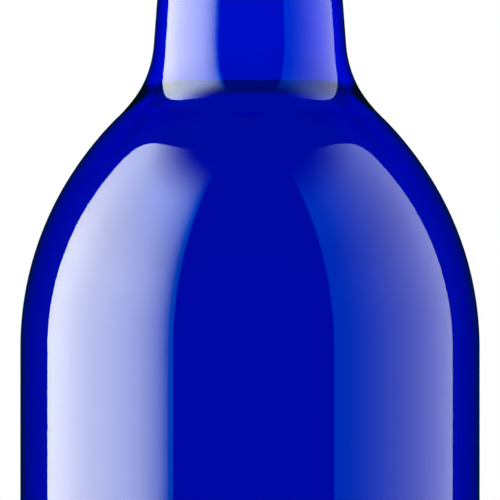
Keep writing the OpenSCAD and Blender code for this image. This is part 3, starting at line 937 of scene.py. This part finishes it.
def makeFloor(f):
    rim = [(f["radius"] * math.cos(a), f["radius"] * math.sin(a), 0.0) for a in evenAngles(96)]
    obj = makeObject("floor", rim, [range(len(rim))])
    mat, nodes, links, shader, out = newMaterial("paleFloor")
    at = objectPlace(nodes)
    m, ease = shortForms(nodes, links)
    cloud = noiseNode(nodes, links, at, f["cloudScale"], 3.0)
    shade = tuple(c * f["cloudShade"] for c in f["colour"])
    links.new(mixColours(nodes, links, cloud, f["colour"], shade), shader.inputs["Base Color"])
    shader.inputs["Roughness"].default_value = f["rough"]
    # far from the bottle the floor melts into the white background
    away = nodes.new("ShaderNodeVectorMath")
    away.operation = "LENGTH"
    links.new(at, away.inputs[0])
    far = ease(away.outputs["Value"], *f["clearFrom"])
    path = nodes.new("ShaderNodeLightPath")
    seen = m("MAXIMUM", path.outputs["Is Camera Ray"], path.outputs["Is Transmission Ray"])
    white = nodes.new("ShaderNodeEmission")
    mix = nodes.new("ShaderNodeMixShader")
    links.new(m("MULTIPLY", far, seen), mix.inputs[0])
    links.new(shader.outputs[0], mix.inputs[1])
    links.new(white.outputs[0], mix.inputs[2])
    # the glass mirrors the floor beside it, and beyond that the lower ends of the strip lights
    mirrored = m("MULTIPLY", path.outputs["Is Singular Ray"], m("SUBTRACT", 1.0, seen))
    past = ease(away.outputs["Value"], *f["mirrorFrom"])
    letThrough = nodes.new("ShaderNodeBsdfTransparent")
    mixThrough = nodes.new("ShaderNodeMixShader")
    links.new(m("MULTIPLY", past, mirrored), mixThrough.inputs[0])
    links.new(mix.outputs[0], mixThrough.inputs[1])
    links.new(letThrough.outputs[0], mixThrough.inputs[2])
    links.new(mixThrough.outputs[0], out.inputs["Surface"])
    obj.data.materials.append(mat)


makeFloor(floorLook)

cameraAt = {"distance": 1.3, "across": 0.07836, "middleX": 0.0, "middleZ": 0.1433}


def makeCamera(c):
    data = bpy.data.cameras.new("camera")
    data.sensor_width = 36.0
    data.sensor_fit = "HORIZONTAL"
    data.lens = 36.0 * c["distance"] / c["across"]
    data.clip_start, data.clip_end = 0.05, 30.0
    cam = bpy.data.objects.new("camera", data)
    cam.location = (c["middleX"], -c["distance"], c["middleZ"])
    cam.rotation_euler = (math.radians(90), 0, 0)
    bpy.context.scene.collection.objects.link(cam)
    bpy.context.scene.camera = cam


makeCamera(cameraAt)

# two tall strip lights stand to the left and right.
# Angles are in degrees: round from the front, and up from level
studio = {
    "leftFrom": 40.8, "leftRise": 14.6, "leftLevel": 10.4, "leftFadeFrom": 104.0, "leftFadeOver": 33.0,
    "rightFrom": 45.0, "rightLevel": 2.5,
    "end": 122.7, "cornerFrom": 38.0, "cornerBow": 0.063,
    "dimFrom": 20.0, "dimPerDegree": 0.012, "topFrom": 47.0, "topTo": 65.5,
    # green and blue that the strips have beyond their red, near the middle and then at their outer ends
    "leftGreen": (1.05, 0.35), "leftBlue": (2.2, -1.8), "rightGreen": (0.55, 0.2), "rightBlue": (2.5, 0.0),
    "tintFrom": (62.0, 112.0), "leftTintEdge": 38.8, "rightTintEdge": 42.6,
    "hazeFrom": (95.0, 145.0), "haze": (0.07, 0.01),
    # and more of both high up, for the left and the right strip
    "highFrom": (27.0, 50.0), "highGreen": (0.9, 0.3), "highBlue": (3.8, 2.0),
    "edgeGlow": 0.5, "glowFrom": (4.0, 14.0), "glowTo": (50.0, 70.0),
    "ceilingFrom": (24.0, 36.0), "ceiling": 0.38,
    "floorSheen": 0.42, "sheenFrom": (-8.0, -38.0),   # the pale floor, as the glass mirrors it
    # the room's levels at the front and the sides, behind, and low and high as parts of them
    "roomFrom": (15.0, 70.0), "room": (0.26, 0.55), "backdropFrom": (90.0, 150.0), "backdrop": 0.38,
    "lowFrom": (-0.5, 0.1), "roomLow": 0.55, "upFrom": (0.3, 0.9), "roomHigh": 1.5, "stripShare": 0.11,
}


def makeWorld(s):
    world = bpy.data.worlds.new("studio")
    bpy.context.scene.world = world
    world.use_nodes = True
    nodes, links = world.node_tree.nodes, world.node_tree.links
    nodes.clear()
    m, ease = shortForms(nodes, links)
    x, y, z = splitNode(nodes, links, nodes.new("ShaderNodeTexCoord").outputs["Generated"])
    flat = m("SQRT", m("ADD", m("MULTIPLY", x, x), m("MULTIPLY", y, y)))
    around = m("MULTIPLY", m("ARCTAN2", m("ABSOLUTE", x), m("MULTIPLY", y, -1.0)), 180 / math.pi)
    overhead = m("MULTIPLY", m("ARCTAN2", z, flat), 180 / math.pi)
    height = m("ABSOLUTE", overhead)
    # the left strip brightens quickly from its near edge, and the right one slowly
    past = m("MAXIMUM", m("SUBTRACT", around, s["leftFrom"]), 0.0)
    rise = m("SUBTRACT", 1.0, m("EXPONENT", m("DIVIDE", past, -s["leftRise"])))
    fading = m("DIVIDE", m("MAXIMUM", m("SUBTRACT", around, s["leftFadeFrom"]), 0.0), s["leftFadeOver"])
    kept = m("SUBTRACT", 1.0, m("MULTIPLY", fading, fading))
    left = m("MULTIPLY", m("MULTIPLY", rise, s["leftLevel"]), kept)
    right = ease(around, s["rightFrom"], s["end"], 0.0, s["rightLevel"])
    onLeft = m("LESS_THAN", x, 0.0)
    onRight = m("SUBTRACT", 1.0, onLeft)
    strip = m("ADD", m("MULTIPLY", left, onLeft), m("MULTIPLY", right, onRight))
    # they dim and then end upwards, and their outer upper corners are cut off in a bow
    over = m("MAXIMUM", m("SUBTRACT", height, s["dimFrom"]), 0.0)
    dim = m("SUBTRACT", 1.0, m("MULTIPLY", over, s["dimPerDegree"]))
    bow = m("MAXIMUM", m("SUBTRACT", height, s["cornerFrom"]), 0.0)
    farEdge = m("SUBTRACT", s["end"], m("MULTIPLY", m("MULTIPLY", bow, bow), s["cornerBow"]))
    shape = m("MULTIPLY", dim, ease(height, s["topTo"], s["topFrom"]))
    shape = m("MULTIPLY", shape, m("LESS_THAN", around, farEdge))
    strip = m("MULTIPLY", strip, shape)
    nearEdge = m("MULTIPLY_ADD", onLeft, s["leftTintEdge"] - s["rightTintEdge"], s["rightTintEdge"])
    inStrip = m("MULTIPLY", m("GREATER_THAN", around, nearEdge), shape)
    # what rough surfaces see is a plain room, with the backdrop behind and softer strips
    room = m("ADD", ease(around, *s["roomFrom"], *s["room"]),
             ease(around, *s["backdropFrom"], 0.0, s["backdrop"]))
    room = m("MULTIPLY", room, ease(z, *s["lowFrom"], s["roomLow"], 1.0))
    room = m("MULTIPLY", room, ease(z, *s["upFrom"], 1.0, s["roomHigh"]))
    room = m("MULTIPLY_ADD", strip, s["stripShare"], room)
    # light through the glass is white from all round, a little stronger beside the backdrop's middle
    behind = m("SUBTRACT", 180.0, around)
    glow = m("MULTIPLY", ease(behind, *s["glowFrom"]), ease(behind, *s["glowTo"], 1.0, 0.0))
    lit = m("MULTIPLY_ADD", glow, s["edgeGlow"], 1.0)
    through = m("MULTIPLY", lit, ease(overhead, *s["ceilingFrom"], 1.0, s["ceiling"]))
    # clear glass mirrors the strips, and the pale floor below them
    bright = m("ADD", strip, ease(overhead, *s["sheenFrom"], 0.0, s["floorSheen"]))
    path = nodes.new("ShaderNodeLightPath")
    level = room
    for kind, value in (("Is Singular Ray", bright), ("Is Transmission Ray", through),
                        ("Is Camera Ray", 1.0)):
        chosen = path.outputs[kind]
        level = m("ADD", m("MULTIPLY", level, m("SUBTRACT", 1.0, chosen)), m("MULTIPLY", value, chosen))
    # the strips are cool, and most of all near the middle and high up
    mirrored = path.outputs["Is Singular Ray"]
    for kind in ("Is Camera Ray", "Is Transmission Ray"):
        mirrored = m("MULTIPLY", mirrored, m("SUBTRACT", 1.0, path.outputs[kind]))
    haze = ease(around, *s["hazeFrom"], *s["haze"])
    high = ease(overhead, *s["highFrom"])

    def sideTint(pair, more):
        return m("ADD", ease(around, *s["tintFrom"], *pair), m("MULTIPLY", high, more))

    def tinted(leftPair, rightPair, highPair):
        extra = m("ADD", m("MULTIPLY", sideTint(leftPair, highPair[0]), onLeft),
                  m("MULTIPLY", sideTint(rightPair, highPair[1]), onRight))
        return m("MULTIPLY_ADD", mirrored, m("MULTIPLY_ADD", extra, inStrip, haze), level)

    tint = nodes.new("ShaderNodeCombineColor")
    links.new(level, tint.inputs[0])
    links.new(tinted(s["leftGreen"], s["rightGreen"], s["highGreen"]), tint.inputs[1])
    links.new(tinted(s["leftBlue"], s["rightBlue"], s["highBlue"]), tint.inputs[2])
    back = nodes.new("ShaderNodeBackground")
    links.new(tint.outputs[0], back.inputs["Color"])
    out = nodes.new("ShaderNodeOutputWorld")
    links.new(back.outputs[0], out.inputs["Surface"])


makeWorld(studio)
bpy.context.scene.view_settings.view_transform = "Standard"
print("floor, camera and light ready")
